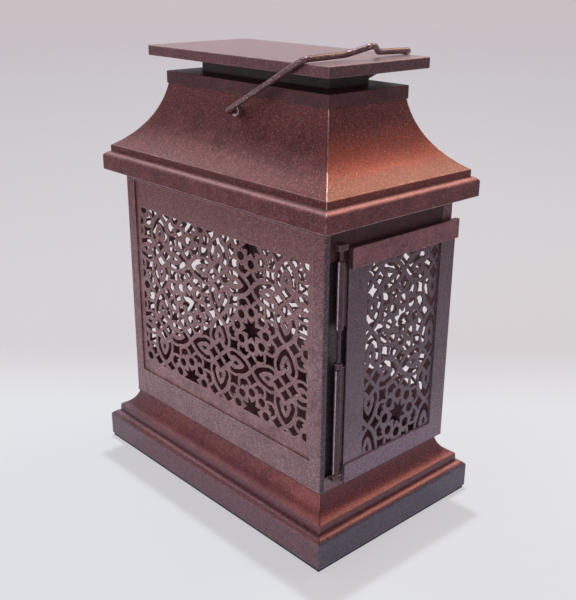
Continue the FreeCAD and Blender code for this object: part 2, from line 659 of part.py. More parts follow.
hinge = [
    knuckle("knuckle_lower", ("LowerKnuckleFoot", "LowerKnuckleTop")),
    knuckle("knuckle_upper", ("UpperKnuckleFoot", "UpperKnuckleTop")),
    lug("lug_lower", "LowerLug"),
    lug("lug_upper", "UpperLug - LugHeight"),
    upright("hinge_pin", "PinRadius", "HingeX", "HingeY", ("LowerLug", "UpperLug")),
]
BEAD_Z = ("BeadFoot", "BeadFoot + BeadHeight")
bead_blank = upright("bead_blank", "BeadRadius", "HingeX", "HingeY", BEAD_Z)
bead_bore = upright("bead_bore", "KnuckleBore", "HingeX", "HingeY", ("BeadFoot - Overrun", BEAD_Z[1] + " + Overrun"))
hinge.append(cut("hinge_bead", bead_blank, [bead_bore]))

# Eave: a channel moulding that stands out round the top of the body.
EAVE_BACK = "EaveOut - EaveSlope"
eave_solid = ring("eave_solid", [
    ("EaveOut", "BodyTop", "0"),
    ("EaveOut", "EaveTop - EaveShoulder", "ShoulderSagShare"),
    (EAVE_BACK, "EaveTop", "0"),
])
eave_hollow = ring("eave_hollow", [
    ("-EaveLap", "BodyTop - Overrun", "0"),
    ("-EaveLap", "BodyTop + Wall", "0"),
    ("EaveOut - Wall", "BodyTop + Wall", "0"),
    ("EaveOut - Wall", "EaveTop - EaveShoulder - Wall / 2", "ShoulderSagShare"),
    (EAVE_BACK, "EaveTop - Wall", "0"),
    ("-EaveLap", "EaveTop - Wall", "0"),
    ("-EaveLap", "EaveTop + Overrun", "0"),
])
eave_moulding = cut("eave_moulding", eave_solid, [eave_hollow])

# Roof: an upright foot and a hollow sweep up to the collar, drilled for the bail eyelets.
ROOF_FOOT_TOP = "EaveTop + NosingHeight"
ROOF_SPRING = "NosingOut - NosingRound"
roof_solid = ring("roof_solid", [
    ("NosingOut", "EaveTop", "0"),
    ("NosingOut", ROOF_FOOT_TOP, QUARTER),
    (ROOF_SPRING, ROOF_FOOT_TOP + " + NosingRound", "-RoofSagShare"),
    ("-RoofInset", "RoofTop", "0"),
])
roof_hollow = ring("roof_hollow", [
    ("NosingOut - Wall", "EaveTop - Overrun", "0"),
    ("NosingOut - Wall", ROOF_FOOT_TOP + " + NosingRound - Wall", "0"),
    (ROOF_SPRING + " - Wall", ROOF_FOOT_TOP + " + NosingRound - Wall", "-RoofSagShare"),
    ("-RoofInset - Wall", "RoofTop - Wall", "0"),
    ("-RoofInset - Wall", "RoofTop + Overrun", "0"),
])
eyelet_holes = crosswise("eyelet_holes", "EyeletRadius + EyeletPlay", ("-(HalfWidth)", "HalfWidth"), "PivotZ")
roof_shell = cut("roof_shell", roof_solid, [roof_hollow, eyelet_holes])

# Collar: a low box on the roof with a window under the neck.
NECK_X = ("-NeckLength / 2", "NeckLength / 2")
NECK_Y = ("-NeckWidth / 2", "NeckWidth / 2")
VENT_X = ("Wall - NeckLength / 2", "NeckLength / 2 - Wall")
VENT_Y = ("Wall - NeckWidth / 2", "NeckWidth / 2 - Wall")
collar_block = block("collar_block", "-(CollarInset)", ("RoofTop", "CollarTop"))
collar_hollow = block("collar_hollow", "-(CollarInset) - Wall", ("RoofTop - Overrun", "CollarTop - Wall"))
collar_window = box("collar_window", VENT_X, VENT_Y, ("RoofTop", "CollarTop + Overrun"))
roof_collar = cut("roof_collar", collar_block, [collar_hollow, collar_window])

# Vent neck: a rectangular tube that carries the top plate.
neck_block = box("neck_block", NECK_X, NECK_Y, ("CollarTop", "NeckTop"))
neck_hollow = box("neck_hollow", VENT_X, VENT_Y, ("CollarTop - Overrun", "NeckTop + Overrun"))
vent_neck = cut("vent_neck", neck_block, [neck_hollow])


def lid(name):
    """The top plate: a sheet with a turned-down rim and a rounded top edge."""
    body = doc.addObject("PartDesign::Body", name)
    plane = [part for part in body.Origin.OriginFeatures if part.Role == "XY_Plane"][0]
    sketches = []
    for step, inset in (("outside", "PlateInset"), ("inside", "PlateInset + Wall")):
        sketch = body.newObject("Sketcher::SketchObject", "%s_%s" % (name, step))
        sketch.AttachmentSupport = (plane, [""])
        sketch.MapMode = "FlatFace"
        x = "HalfLength - (%s)" % inset
        y = "HalfWidth - (%s)" % inset
        outline(sketch, [("-(%s)" % x, "-(%s)" % y, "0"), (x, "-(%s)" % y, "0"), (x, y, "0"), ("-(%s)" % x, y, "0")])
        sketches.append(sketch)
    pad = body.newObject("PartDesign::Pad", name + "_pad")
    pad.Profile = sketches[0]
    bind(pad, "Length", "PlateHeight")
    doc.recompute()
    top = pad.Shape.BoundBox.ZMax
    edges = ["Edge%d" % (index + 1) for index, edge in enumerate(pad.Shape.Edges)
             if abs(edge.BoundBox.ZMin - top) < pad.Shape.BoundBox.ZLength / 100]
    rounded = body.newObject("PartDesign::Fillet", name + "_edge")
    rounded.Base = (pad, edges)
    bind(rounded, "Radius", "PlateRound")
    hollow = body.newObject("PartDesign::Pocket", name + "_hollow")
    hollow.Profile = sketches[1]
    hollow.Reversed = True
    bind(hollow, "Length", "PlateHeight - Wall")
    bind(body, "Placement.Base.z", "PlateFoot")
    body.Tip = hollow
    return body


top_plate = lid("top_plate")

# Two eyelets in the roof that hold the rod ends.
EYELET_Y = ("EyeletInner", "EyeletInner + EyeletLength")
eyelets = []
for eyelet, side in (("eyelet_front", -1), ("eyelet_back", 1)):
    span = EYELET_Y if side > 0 else ("-(%s)" % EYELET_Y[1], "-(%s)" % EYELET_Y[0])
    barrel = crosswise(eyelet + "_barrel", "EyeletRadius", span, "PivotZ")
    bore = crosswise(eyelet + "_bore", "EyeletBore", ("(%s) - Overrun" % span[0], "(%s) + Overrun" % span[1]), "PivotZ")
    eyelets.append(cut(eyelet, barrel, [bore]))


def bent_wire(points, bends):
    """Straight runs through the points, joined at each inner point by an arc that meets both."""
    edges = []
    last = points[0]
    for before, here, after, bend in zip(points, points[1:], points[2:], bends):
        inward = (before - here).normalize()
        onward = (after - here).normalize()
        half = inward.getAngle(onward) / 2
        run = bend / math.tan(half)
        start = here + inward * run
        end = here + onward * run
        middle = (inward + onward).normalize()
        crown = here + middle * (bend / math.sin(half) - bend)
        edges.append(Part.LineSegment(last, start).toShape())
        edges.append(Part.Arc(start, crown, end).toShape())
        last = end
    edges.append(Part.LineSegment(last, points[-1]).toShape())
    return Part.Wire(edges)


# Bail handle: one bent rod, drawn flat with its pivots on Y, then tilted to where it rests.
arm = num("BailArm")
grip = num("BailArm + BailBow")
side_points = [
    (Vector(0, num("BailEnd"), 0), None),
    (Vector(0, num("BailHalf"), 0), num("ElbowBend")),
    (Vector(arm, num("BailHalf"), 0), num("CornerBend")),
    (Vector(grip, num("HumpFoot"), 0), num("HumpFootBend")),
]
peak = (Vector(grip + num("HumpRise"), 0, 0), num("HumpPeakBend"))
mirrored = [(Vector(point.x, -point.y, 0), bend) for point, bend in reversed(side_points)]
route = side_points + [peak] + mirrored
path = bent_wire([point for point, bend in route], [bend for point, bend in route[1:-1]])
section = Part.Wire([Part.makeCircle(num("RodRadius"), route[0][0], Vector(0, 1, 0))])
bail_handle = doc.addObject("Part::Feature", "bail_handle")
bail_handle.Shape = path.makePipeShell([section], True, False)
bail_handle.Placement = Placement(Vector(0, 0, num("PivotZ")), Rotation(Vector(0, 1, 0), -num("BailRest")))

pieces = [base_pad, base_plinth, base_cove, floor_plate]
pieces += [post_front_hinge, post_front_far, post_back_door, post_back_far]
pieces += rails + panels + bars + hinge
pieces += [eave_moulding, roof_shell, roof_collar, vent_neck, top_plate]
pieces += eyelets + [bail_handle]
for piece in pieces:
    piece.Label = piece.Name

doc.recompute()
for thing in doc.Objects:
    if "Invalid" in thing.State or "Error" in thing.State:
        raise RuntimeError("%s failed: %s" % (thing.Name, thing.State))
for piece in pieces:
    if piece.Shape.isNull() or not piece.Shape.isValid() or len(piece.Shape.Solids) != 1:
        raise RuntimeError("%s is not one sound solid" % piece.Name)
for piece in pieces:
    piece.Shape.exportStep("parts/%s.step" % piece.Label)
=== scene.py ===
import json
import math

import bmesh
import bpy
import numpy as np
from mathutils import Matrix, Vector


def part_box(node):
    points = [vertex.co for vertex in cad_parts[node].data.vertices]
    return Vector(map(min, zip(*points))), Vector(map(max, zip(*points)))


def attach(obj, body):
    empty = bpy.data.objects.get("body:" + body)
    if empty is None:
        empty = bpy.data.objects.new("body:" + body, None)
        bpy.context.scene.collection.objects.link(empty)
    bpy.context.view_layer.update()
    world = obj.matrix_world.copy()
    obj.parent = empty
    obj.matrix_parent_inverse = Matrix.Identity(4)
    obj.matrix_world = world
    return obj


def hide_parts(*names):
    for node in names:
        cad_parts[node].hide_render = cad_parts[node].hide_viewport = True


# Pierced sheet-metal candle lantern. Lengths are in metres, in the frame of the solid model:
# +Z up, the wide front faces -Y and the hinged door is the +X end.
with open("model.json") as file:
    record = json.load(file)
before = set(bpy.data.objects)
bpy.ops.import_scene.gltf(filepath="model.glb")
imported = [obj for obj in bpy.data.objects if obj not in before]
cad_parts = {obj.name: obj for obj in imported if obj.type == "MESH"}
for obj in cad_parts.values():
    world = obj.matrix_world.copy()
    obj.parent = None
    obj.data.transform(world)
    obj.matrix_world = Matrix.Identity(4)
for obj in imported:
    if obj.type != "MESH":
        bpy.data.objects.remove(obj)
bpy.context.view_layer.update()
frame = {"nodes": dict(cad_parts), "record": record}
NODES = frame["nodes"]
MM = 0.001


def rgb(red, green, blue):
    """A colour as the shader wants it."""
    return (red, green, blue, 1.0)


class Finish:
    """A procedural material. It keeps its nodes, its shader, and the place and the way of the
    surface, both as the object has them."""

    def __init__(self, name):
        self.material = bpy.data.materials.new(name)
        self.material.use_nodes = True
        self.tree = self.material.node_tree
        self.tree.nodes.clear()
        self.shader = self.add("ShaderNodeBsdfPrincipled")
        output = self.add("ShaderNodeOutputMaterial")
        self.join(self.shader.outputs["BSDF"], output.inputs["Surface"])
        here = self.add("ShaderNodeTexCoord")
        self.place = here.outputs["Object"]
        self.way = here.outputs["Normal"]

    def add(self, kind, **settings):
        """A new node with those settings."""
        node = self.tree.nodes.new(kind)
        for key, value in settings.items():
            setattr(node, key, value)
        return node

    def join(self, source, target):
        self.tree.links.new(source, target)

    def feed(self, socket, value):
        """Link a socket, or set it to a plain value."""
        if isinstance(value, bpy.types.NodeSocket):
            self.join(value, socket)
        else:
            socket.default_value = value

    def noise(self, size, detail, rough):
        """Cloudy noise whose features are about that size."""
        node = self.add("ShaderNodeTexNoise")
        node.inputs["Scale"].default_value = 1.0 / size
        node.inputs["Detail"].default_value = detail
        node.inputs["Roughness"].default_value = rough
        self.join(self.place, node.inputs["Vector"])
        return node.outputs["Fac"]

    def cells(self, size):
        """Random flecks, each of one value."""
        node = self.add("ShaderNodeTexVoronoi")
        node.inputs["Scale"].default_value = 1.0 / size
        self.join(self.place, node.inputs["Vector"])
        return node.outputs["Color"]

    def ramp(self, value, stops):
        """Colours or levels along a value, from stops of (value, colour or level)."""
        node = self.add("ShaderNodeValToRGB")
        ramp = node.color_ramp
        while len(ramp.elements) < len(stops):
            ramp.elements.new(0.5)
        for element, (position, colour) in zip(ramp.elements, stops):
            element.position = position
            element.color = colour if isinstance(colour, tuple) else rgb(colour, colour, colour)
        self.join(value, node.inputs["Fac"])
        return node.outputs["Color"]

    def mix(self, factor, first, second, blend="MIX"):
        """The first colour with a share of the second."""
        node = self.add("ShaderNodeMix", data_type="RGBA", blend_type=blend)
        self.feed(node.inputs["Factor"], factor)
        self.feed(node.inputs["A"], first)
        self.feed(node.inputs["B"], second)
        return node.outputs["Result"]

    def sums(self, operation, first, second):
        """One operation on two values."""
        node = self.add("ShaderNodeMath", operation=operation)
        self.feed(node.inputs[0], first)
        self.feed(node.inputs[1], second)
        return node.outputs["Value"]

    def bump(self, height, depth, strength, normal):
        """The normal turned by the slope of a height."""
        node = self.add("ShaderNodeBump")
        node.inputs["Strength"].default_value = strength
        node.inputs["Distance"].default_value = depth
        self.join(height, node.inputs["Height"])
        self.join(normal, node.inputs["Normal"])
        return node.outputs["Normal"]


# The paint's noises: the size of the features, the detail and the roughness of each.
CLOUD = (16 * MM, 4.0, 0.60)
MOTTLE = (5 * MM, 5.0, 0.75)
PEBBLE = (1.5 * MM, 2.0, 0.60)
GRAIN = (0.75 * MM, 2.0, 0.65)
PATCH = (4 * MM, 4.0, 0.70)
FLECK_SIZE = 0.55 * MM
NOISE_MIDDLE = 0.5

# What the noises become: pairs of a noise's value and the level that it stands for.
CLOUD_STOPS = [(0.38, 0.0), (0.62, 1.0)]
FLECK_STOPS = [(0.66, 0.0), (0.98, 1.0)]
PATCH_STOPS = [(0.36, 0.25), (0.60, 1.0)]
TURN_STOPS = [(0.01, 0.0), (0.12, 1.0)]
SHADE_FROM = 0.40
SHADE_TO = 0.60

# The paint's skin.
GRAIN_SHARE = 0.65
PEBBLE_SHARE = 0.35
SWELL = 2.0
SKIN_DEPTH = 0.16 * MM
SKIN_STRENGTH = 0.5
ROUGH_FROM = 0.3
ROUGH_TO = 0.7
SMOOTHER = 0.07
ROUGHER = 0.12
COAT_ROUGHNESS = 0.32
EDGE_REACH = 0.8 * MM
EDGE_SAMPLES = 6
RAGGED_SHARE = 1.5


class Paint(Finish):
    """Sprayed metallic paint over sheet metal: cloudy colour between dark and light, bands of other
    tints, most of them painted light and shade by height, place or the way a face turns, a pebbled
    skin, flecks and worn edges, pale enough on some paints to be partly a painted highlight."""

    def __init__(self, name, dark, light, fleck, wear_and_glint_colour, metal, rough, coat=0.2, flecks=0.5, wear_and_glint_share=0.7,
                 contrast=0.6, bands=()):
        super().__init__(name)
        cloud = self.noise(*CLOUD)
        mottle = self.noise(*MOTTLE)
        grain = self.sums("ADD", self.sums("MULTIPLY", self.noise(*GRAIN), GRAIN_SHARE),
                          self.sums("MULTIPLY", self.noise(*PEBBLE), PEBBLE_SHARE))
        cloudy = self.sums("MULTIPLY", self.sums("ADD", cloud, mottle), 0.5)
        colour = self.mix(self.ramp(cloudy, CLOUD_STOPS), dark, light)
        for axis, start, full, tint, strength in bands:
            share = self.sums("MULTIPLY", self.between(axis, start, full, cloudy), strength)
            colour = self.mix(share, colour, tint)
        shade = self.ramp(grain, [(SHADE_FROM, 1.0 - contrast), (SHADE_TO, 1.0 + contrast)])
        colour = self.mix(1.0, colour, shade, blend="MULTIPLY")
        spots = self.ramp(self.cells(FLECK_SIZE), FLECK_STOPS)
        colour = self.mix(self.sums("MULTIPLY", spots, flecks), colour, fleck)
        # Worn edges: real wear, and on the palest paints partly a painted highlight along the edges.
        rounded, turn = self.edge()
        patches = self.ramp(self.noise(*PATCH), PATCH_STOPS)
        rubbed_and_glinting = self.sums("MULTIPLY", self.ramp(turn, TURN_STOPS), patches)
        colour = self.mix(self.sums("MULTIPLY", rubbed_and_glinting, wear_and_glint_share), colour, wear_and_glint_colour)
        dulled = self.ramp(grain, [(ROUGH_FROM, rough - SMOOTHER), (ROUGH_TO, rough + ROUGHER)])
        skin = self.sums("ADD", grain, self.sums("MULTIPLY", cloud, SWELL))
        self.feed(self.shader.inputs["Base Color"], colour)
        self.feed(self.shader.inputs["Roughness"], dulled)
        self.feed(self.shader.inputs["Normal"], self.bump(skin, SKIN_DEPTH, SKIN_STRENGTH, rounded))
        self.shader.inputs["Metallic"].default_value = metal
        self.shader.inputs["Coat Weight"].default_value = coat
        self.shader.inputs["Coat Roughness"].default_value = COAT_ROUGHNESS

    def between(self, axis, start, full, ragged):
        """A share along an axis, from 0 at its start to 1 where it is full, whichever of the two
        lies higher, with a border made ragged by a noise. With "facing" before the axis, the way
        that the surface faces counts, from -1 to 1, and not its place."""
        parts = self.add("ShaderNodeSeparateXYZ")
        self.join(self.way if axis.startswith("facing") else self.place, parts.inputs["Vector"])
        swing = RAGGED_SHARE * abs(full - start)
        shift = self.sums("MULTIPLY", self.sums("SUBTRACT", ragged, NOISE_MIDDLE), swing)
        shifted = self.sums("ADD", parts.outputs[axis[-1]], shift)
        share = self.add("ShaderNodeMapRange", interpolation_type="SMOOTHSTEP")
        share.inputs["From Min"].default_value = start
        share.inputs["From Max"].default_value = full
        self.join(shifted, share.inputs["Value"])
        return share.outputs["Result"]

    def edge(self):
        """The normal as if the edges were rounded, and how far it turns: 0 on a flat face."""
        rounded = self.add("ShaderNodeBevel", samples=EDGE_SAMPLES)
        rounded.inputs["Radius"].default_value = EDGE_REACH
        facing = self.add("ShaderNodeNewGeometry")
        dot = self.add("ShaderNodeVectorMath", operation="DOT_PRODUCT")
        self.join(rounded.outputs["Normal"], dot.inputs[0])
        self.join(facing.outputs["True Normal"], dot.inputs[1])
        return rounded.outputs["Normal"], self.sums("SUBTRACT", 1.0, dot.outputs["Value"])


# Bands of tint. Each has its axis, where it starts, where it is full, its tint and its strength.
# The body and the door are darker and redder at the top, a painted shade under the eave, and
# paler at the foot, a painted light from the floor.
BODY_SHADE_AND_LIGHT_BANDS = [("Z", 120 * MM, 184 * MM, rgb(0.112, 0.018, 0.022), 0.85),
              ("Z", 80 * MM, 45 * MM, rgb(0.290, 0.180, 0.195), 0.40)]
DOOR_SHADE_AND_LIGHT_BANDS = [("Z", 60 * MM, 170 * MM, rgb(0.072, 0.026, 0.037), 0.80),
              ("Z", 70 * MM, 46 * MM, rgb(0.270, 0.185, 0.260), 0.70)]
# The base is redder near the door, a painted warm light, and darker where it faces that way, a
# painted shade; it changes in steps from the cove's lip down to the plinth's face, is dark at its
# foot, a painted contact shadow, and is greyer far from the door and cooler on the plinth's own
# face below the door, both painted shade.
BASE_LIGHT_SHADE_AND_TONE_BANDS = [("X", 40 * MM, 84 * MM, rgb(0.290, 0.066, 0.060), 0.45),
              ("facing X", 0.2, 0.5, rgb(0.080, 0.022, 0.034), 0.60),
              ("Z", 25.0 * MM, 23.6 * MM, rgb(0.140, 0.062, 0.078), 0.75),
              ("Z", 19.6 * MM, 18.8 * MM, rgb(0.160, 0.060, 0.068), 0.80),
              ("Z", 17.0 * MM, 15.6 * MM, rgb(0.166, 0.084, 0.104), 0.92),
              ("Z", 3.2 * MM, 1.9 * MM, rgb(0.020, 0.014, 0.018), 0.94),
              ("X", -55 * MM, -95 * MM, rgb(0.105, 0.084, 0.118), 0.45),
              ("X", 99.5 * MM, 101.5 * MM, rgb(0.076, 0.074, 0.118), 0.85)]
# The roof is darker towards its foot and on its nosing, a painted shade, warm on the slope over the
# door and redder where that slope is steep, a painted warm highlight, and even again above, where
# that painted highlight ends.
ROOF_LIGHT_AND_SHADE_BANDS = [("Z", 216 * MM, 206 * MM, rgb(0.062, 0.005, 0.009), 0.50),
              ("facing X", 0.15, 0.40, rgb(0.112, 0.048, 0.034), 0.60),
              ("facing X", 0.60, 0.75, rgb(0.215, 0.036, 0.022), 0.75),
              ("Z", 221 * MM, 230 * MM, rgb(0.095, 0.016, 0.019), 0.85),
              ("Z", 201.2 * MM, 200.3 * MM, rgb(0.068, 0.003, 0.007), 0.55)]
# The eave's sloped top is paler than its face: a painted highlight.
EAVE_HIGHLIGHT_BANDS = [("Z", 194.2 * MM, 196.0 * MM, rgb(0.300, 0.180, 0.185), 0.34)]
# The barrel of the hinge has a pale line, a painted highlight, where it stands out farthest from
# the wide front, and a darker inner side, a painted shade.
BARREL_HIGHLIGHT_AND_SHADE_BANDS = [("Y", -42.28 * MM, -42.38 * MM, rgb(0.560, 0.450, 0.500), 0.95),
                ("X", 89.9 * MM, 89.6 * MM, rgb(0.050, 0.022, 0.028), 0.90)]
# The rebate of the post beside the hinge is dark: painted shade in the recess.
REBATE_SHADE_BANDS = [("Y", -49.6 * MM, -49.2 * MM, rgb(0.042, 0.034, 0.048), 0.90),
                ("X", 86.9 * MM, 87.6 * MM, rgb(0.060, 0.042, 0.054), 0.75)]
# The lid has a dark rim over the door, a painted shade, and a pale flat top, a painted reflection.
PLATE_SHADE_AND_REFLECTION_BANDS = [("facing X", 0.50, 0.90, rgb(0.056, 0.003, 0.011), 0.75),
               ("Z", 259.3 * MM, 260.0 * MM, rgb(0.222, 0.150, 0.163), 0.92)]

# Looks that more than one paint has.
MAUVE = dict(dark=rgb(0.138, 0.060, 0.069), light=rgb(0.275, 0.150, 0.168),
             fleck=rgb(0.50, 0.34, 0.36), wear_and_glint_colour=rgb(0.52, 0.37, 0.36),
             metal=0.30, rough=0.46, contrast=0.42)
WORN_DARK = dict(dark=rgb(0.040, 0.015, 0.019), light=rgb(0.085, 0.036, 0.044),
                 fleck=rgb(0.24, 0.16, 0.18), wear_and_glint_colour=rgb(0.50, 0.38, 0.40),
                 metal=0.40, rough=0.34, coat=0.1, contrast=0.3)

# The paint of each slot.
PAINTS = {
    "body_paint": Paint("mauve_paint", bands=BODY_SHADE_AND_LIGHT_BANDS, **MAUVE),
    # A darker, cooler copy of the mauve: painted shade on the door's end of the lantern.
    "door_paint": Paint(
        "shaded_mauve_door_paint", dark=rgb(0.110, 0.074, 0.100), light=rgb(0.205, 0.142, 0.186),
        fleck=rgb(0.36, 0.27, 0.33), wear_and_glint_colour=rgb(0.36, 0.27, 0.30),
        metal=0.30, rough=0.46, contrast=0.38, bands=DOOR_SHADE_AND_LIGHT_BANDS),
    "base_paint": Paint(
        "russet_base_paint", dark=rgb(0.096, 0.018, 0.023), light=rgb(0.190, 0.048, 0.053),
        fleck=rgb(0.42, 0.20, 0.18), wear_and_glint_colour=rgb(0.74, 0.50, 0.43),
        metal=0.60, rough=0.38, flecks=0.4, wear_and_glint_share=0.9, contrast=0.34, bands=BASE_LIGHT_SHADE_AND_TONE_BANDS),
    # Its near-white worn edges are partly wear and partly a painted highlight.
    "roof_paint": Paint(
        "russet_roof_paint", dark=rgb(0.066, 0.009, 0.012), light=rgb(0.140, 0.027, 0.030),
        fleck=rgb(0.48, 0.23, 0.20), wear_and_glint_colour=rgb(0.95, 0.74, 0.66),
        metal=0.60, rough=0.40, coat=0.10, flecks=0.42, wear_and_glint_share=1.0, contrast=0.42, bands=ROOF_LIGHT_AND_SHADE_BANDS),
    "plate_paint": Paint(
        "plate_paint", dark=rgb(0.062, 0.010, 0.014), light=rgb(0.115, 0.026, 0.036),
        fleck=rgb(0.36, 0.20, 0.18), wear_and_glint_colour=rgb(0.62, 0.40, 0.28),
        metal=0.30, rough=0.38, coat=0.35, contrast=0.35, bands=PLATE_SHADE_AND_REFLECTION_BANDS),
    # Near black: painted shade for parts in deep shadow, such as the vent neck under the lid.
    "dark_paint": Paint(
        "dark_paint", dark=rgb(0.014, 0.008, 0.008), light=rgb(0.034, 0.020, 0.020),
        fleck=rgb(0.08, 0.05, 0.05), wear_and_glint_colour=rgb(0.10, 0.06, 0.05), metal=0.2, rough=0.55),
    "bail_paint": Paint(
        "bail_paint", dark=rgb(0.070, 0.026, 0.030), light=rgb(0.13, 0.055, 0.058),
        fleck=rgb(0.62, 0.48, 0.44), wear_and_glint_colour=rgb(0.45, 0.28, 0.22),
        metal=0.40, rough=0.34, coat=0.4, flecks=0.6, contrast=0.35),
    "hinge_paint": Paint("hinge_paint", bands=BARREL_HIGHLIGHT_AND_SHADE_BANDS, **WORN_DARK),
    "foot_pad": Paint(
        "foot_pad", dark=rgb(0.012, 0.012, 0.014), light=rgb(0.032, 0.030, 0.034),
        fleck=rgb(0.06, 0.055, 0.06), wear_and_glint_colour=rgb(0.09, 0.085, 0.09),
        metal=0.0, rough=0.82, coat=0.0, wear_and_glint_share=0.5, contrast=0.3),
}

# Pieces that differ from the rest of their slot.
shaded_head = Paint(
    "shaded_head_paint", dark=rgb(0.030, 0.004, 0.007), light=rgb(0.062, 0.012, 0.018),
    fleck=rgb(0.14, 0.07, 0.08), wear_and_glint_colour=rgb(0.24, 0.12, 0.12),
    metal=0.30, rough=0.56, coat=0.0, contrast=0.3)
hinge_lug = Paint("hinge_lug_paint", **WORN_DARK)
# A paler copy of the mauve: painted light on the pierced sheets.
lit_pierced_sheet = Paint(
    "lit_pierced_sheet_paint", dark=rgb(0.165, 0.072, 0.076), light=rgb(0.335, 0.180, 0.190),
    fleck=rgb(0.58, 0.40, 0.40), wear_and_glint_colour=rgb(0.58, 0.42, 0.38),
    metal=0.30, rough=0.46, contrast=0.42, bands=BODY_SHADE_AND_LIGHT_BANDS[:1])
inner_floor = Paint(
    "inner_floor_paint", dark=rgb(0.060, 0.018, 0.024), light=rgb(0.135, 0.046, 0.056),
    fleck=rgb(0.24, 0.12, 0.13), wear_and_glint_colour=rgb(0.20, 0.10, 0.10), metal=0.2, rough=0.55, contrast=0.35)
shaded_collar = Paint(
    "shaded_collar_paint", dark=rgb(0.040, 0.008, 0.010), light=rgb(0.080, 0.020, 0.024),
    fleck=rgb(0.30, 0.16, 0.15), wear_and_glint_colour=rgb(0.26, 0.13, 0.13),
    metal=0.50, rough=0.46, coat=0.05, flecks=0.3, contrast=0.4)
# The eave's paint: its near-white worn edges are partly wear and partly a painted highlight.
eave_with_painted_highlight = Paint(
    "russet_eave_paint", dark=rgb(0.066, 0.011, 0.014), light=rgb(0.150, 0.032, 0.036),
    fleck=rgb(0.48, 0.24, 0.22), wear_and_glint_colour=rgb(0.95, 0.76, 0.70),
    metal=0.60, rough=0.38, coat=0.15, flecks=0.35, wear_and_glint_share=1.0, contrast=0.38, bands=EAVE_HIGHLIGHT_BANDS)
hinge_post = Paint("hinge_post_paint", bands=BODY_SHADE_AND_LIGHT_BANDS + REBATE_SHADE_BANDS, **MAUVE)
reddish_bar = Paint(
    "reddish_bar_paint", dark=rgb(0.125, 0.028, 0.036), light=rgb(0.245, 0.076, 0.090),
    fleck=rgb(0.42, 0.28, 0.30), wear_and_glint_colour=rgb(0.48, 0.32, 0.32), metal=0.35, rough=0.42, contrast=0.36)
# Pale worn steel, its brightness partly a painted glint.
worn_and_glinting_eyelet = Paint(
    "worn_and_glinting_eyelet", dark=rgb(0.20, 0.14, 0.14), light=rgb(0.45, 0.34, 0.34),
    fleck=rgb(0.85, 0.74, 0.74), wear_and_glint_colour=rgb(0.95, 0.85, 0.83), metal=0.7, rough=0.28, wear_and_glint_share=1.0)

OWN_PAINTS = {
    "door_head": shaded_head,
    "door_bar_top": reddish_bar,
    "post_front_hinge": hinge_post,
    "panel_front": lit_pierced_sheet,
    "panel_back": lit_pierced_sheet,
    "panel_end": lit_pierced_sheet,
    "floor_plate": inner_floor,
    "lug_lower": hinge_lug,
    "lug_upper": hinge_lug,
    "hinge_bead": hinge_lug,
    "eyelet_front": worn_and_glinting_eyelet,
    "eyelet_back": worn_and_glinting_eyelet,
}
for part in frame["record"]["subparts"]:
    paint = OWN_PAINTS.get(part["node"], PAINTS[part["material_slot"]])
    coats = NODES[part["node"]].data.materials
    coats.clear()
    coats.append(paint.material)


# Sizes that the pieces below share with the solid model.
HALF_LENGTH = 88.2 * MM
HALF_WIDTH = 50.0 * MM
WALL = 1.2 * MM
SOFT_EDGE = 0.30 * MM
SOFT_CORNER = 0.7 * MM

# How far the arcs of the profiles stand off their chords, in chords. A quarter turn does so by
# (root of 2 - 1) / 2, and a hollow has a minus.
QUARTER_SAG = (math.sqrt(2) - 1) / 2
SHOULDER_SAG = 0.12
LIP_SAG = 0.04
COVE_SAG = -0.127

# Points closer than the first are merged, faces thinner than the second go, and edges that turn
# by more than the third stay sharp.
MERGE_REACH = 0.002 * MM
SLIVER = 0.001 * MM
SHARP_ANGLE = math.radians(34)


def arched(corners, steps=12):
    """Points along an open line of corners (out, height, sag): between two corners the point at
    share s stands off the chord, to the right of the way, by 4 * sag * s * (1 - s) chords."""
    table = np.array(corners, dtype=float)
    start = table[:-1, None, :2]
    across = table[1:, None, :2] - start
    right = np.stack([across[..., 1], -across[..., 0]], axis=-1)
    share = (np.arange(steps) / steps)[None, :, None]
    points = start + across * share + right * 4 * table[:-1, 2, None, None] * share * (1 - share)
    return np.vstack([points.reshape(-1, 2), table[-1:, :2]])


def eased(corners, steps=12, turn_steps=4):
    """The arched line with each inner corner eased: from a point A that lies a soft edge before it
    to a point B that far behind it, the line is (1-w)^2 A + 2w(1-w) corner + w^2 B."""
    line = arched(corners, steps)
    run = np.concatenate([[0], np.cumsum(np.hypot(*np.diff(line, axis=0).T))])
    at = run[::steps]

    def along(length):
        out = np.interp(length, run, line[:, 0])
        height = np.interp(length, run, line[:, 1])
        return np.stack([out, height], axis=-1)

    gap = np.full(len(at), SOFT_EDGE)
    gap[[0, -1]] = 0
    share = np.linspace(0, 1, steps + 1)
    sides = along((at[:-1] + gap[:-1])[:, None] * (1 - share) + (at[1:] - gap[1:])[:, None] * share)
    w = np.linspace(0, 1, turn_steps + 2)[1:-1, None]
    before = along(at[1:-1] - SOFT_EDGE)[:, None]
    behind = along(at[1:-1] + SOFT_EDGE)[:, None]
    turns = (1 - w) ** 2 * before + 2 * w * (1 - w) * line[::steps][1:-1, None] + w ** 2 * behind
    turns = np.concatenate([turns, np.zeros((1, turn_steps, 2))])
    return np.concatenate([sides, turns], axis=1).reshape(-1, 2)[:-turn_steps]


def inner_line(corners, steps=12):
    """The arched line moved in by the wall: each point goes against (n1 + n2) / (1 + n1.n2) of
    the outward normals of its two sides, so corners stay mitred."""
    line = arched(corners, steps)
    along = np.diff(line, axis=0)
    along /= np.hypot(*along.T)[:, None]
    normal = np.stack([along[:, 1], -along[:, 0]], axis=-1)
    before = np.vstack([normal[:1], normal])
    behind = np.vstack([normal, normal[-1:]])
    mitre = (before + behind) / (1 + (before * behind).sum(axis=1))[:, None]
    return line - mitre * WALL


